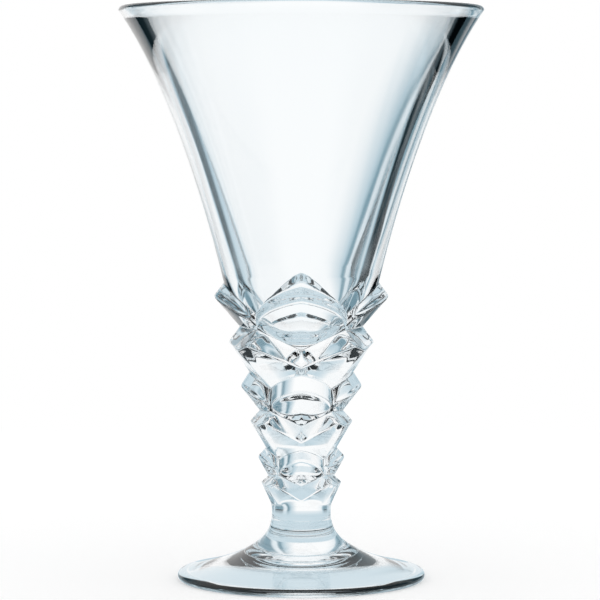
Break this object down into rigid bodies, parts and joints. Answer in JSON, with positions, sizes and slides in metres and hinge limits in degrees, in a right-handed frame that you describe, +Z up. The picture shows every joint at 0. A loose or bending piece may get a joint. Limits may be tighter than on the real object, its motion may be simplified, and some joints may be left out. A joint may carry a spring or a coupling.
{
  "type": "parfait glass",
  "caption": "Clear pressed-glass dessert glass: a thick flared bowl on a petalled collar, a stem of faceted tiers and a round foot, for ice cream and layered desserts.",
  "frame": {"origin": "centre of the circle on which the foot stands, on the table surface", "axes": "+Z up along the axis of the glass; -Y is the middle of a stem face, as seen in the picture"},
  "size_m": [0.1172, 0.1172, 0.185],
  "materials": {
    "clear_glass": "fire-polished clear soda-lime glass"
  },
  "bodies": {
    "root": {"bowl": "clear_glass", "stem": "clear_glass", "foot": "clear_glass"}
  },
  "joints": []
}
